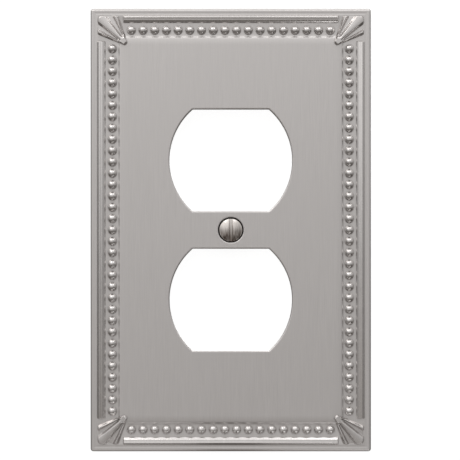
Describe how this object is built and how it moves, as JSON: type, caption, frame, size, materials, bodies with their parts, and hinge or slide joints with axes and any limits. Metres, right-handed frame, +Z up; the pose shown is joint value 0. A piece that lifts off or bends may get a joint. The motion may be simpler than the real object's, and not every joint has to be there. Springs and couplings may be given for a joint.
{
  "type": "wall plate cover",
  "caption": "Upright decorative wall plate cover for a duplex receptacle, with a beaded border, shell corners and a slotted centre screw.",
  "frame": {"origin": "on the wall plane behind the plate, on the axis of the centre screw", "axes": "+Z up the plate, +Y into the wall, so the decorated front faces -Y"},
  "size_m": [0.0782, 0.0136, 0.1236],
  "materials": {
    "satin_nickel": "satin nickel over casting, fine vertical brushing",
    "plated_steel": "satin nickel plated",
    "natural_nylon": "plain moulded"
  },
  "bodies": {
    "plate": {"plate": "satin_nickel"},
    "screw_retainer": {"screw_retainer": "natural_nylon"},
    "mounting_screw": {"mounting_screw": "plated_steel"}
  },
  "joints": [
    {"name": "screw_travel", "type": "slide", "parent": "plate", "child": "screw_retainer", "axis": [0, -1, 0], "range_m": [0, 0.00159]},
    {"name": "screw_turn", "type": "hinge", "parent": "screw_retainer", "child": "mounting_screw", "pos_m": [0, 0, 0], "axis": [0, -1, 0], "range_deg": [0, 720]}
  ],
  "couplings": [
    {"joint": "screw_turn", "follows": "screw_travel", "rad_per_m": 7915.8}
  ]
}
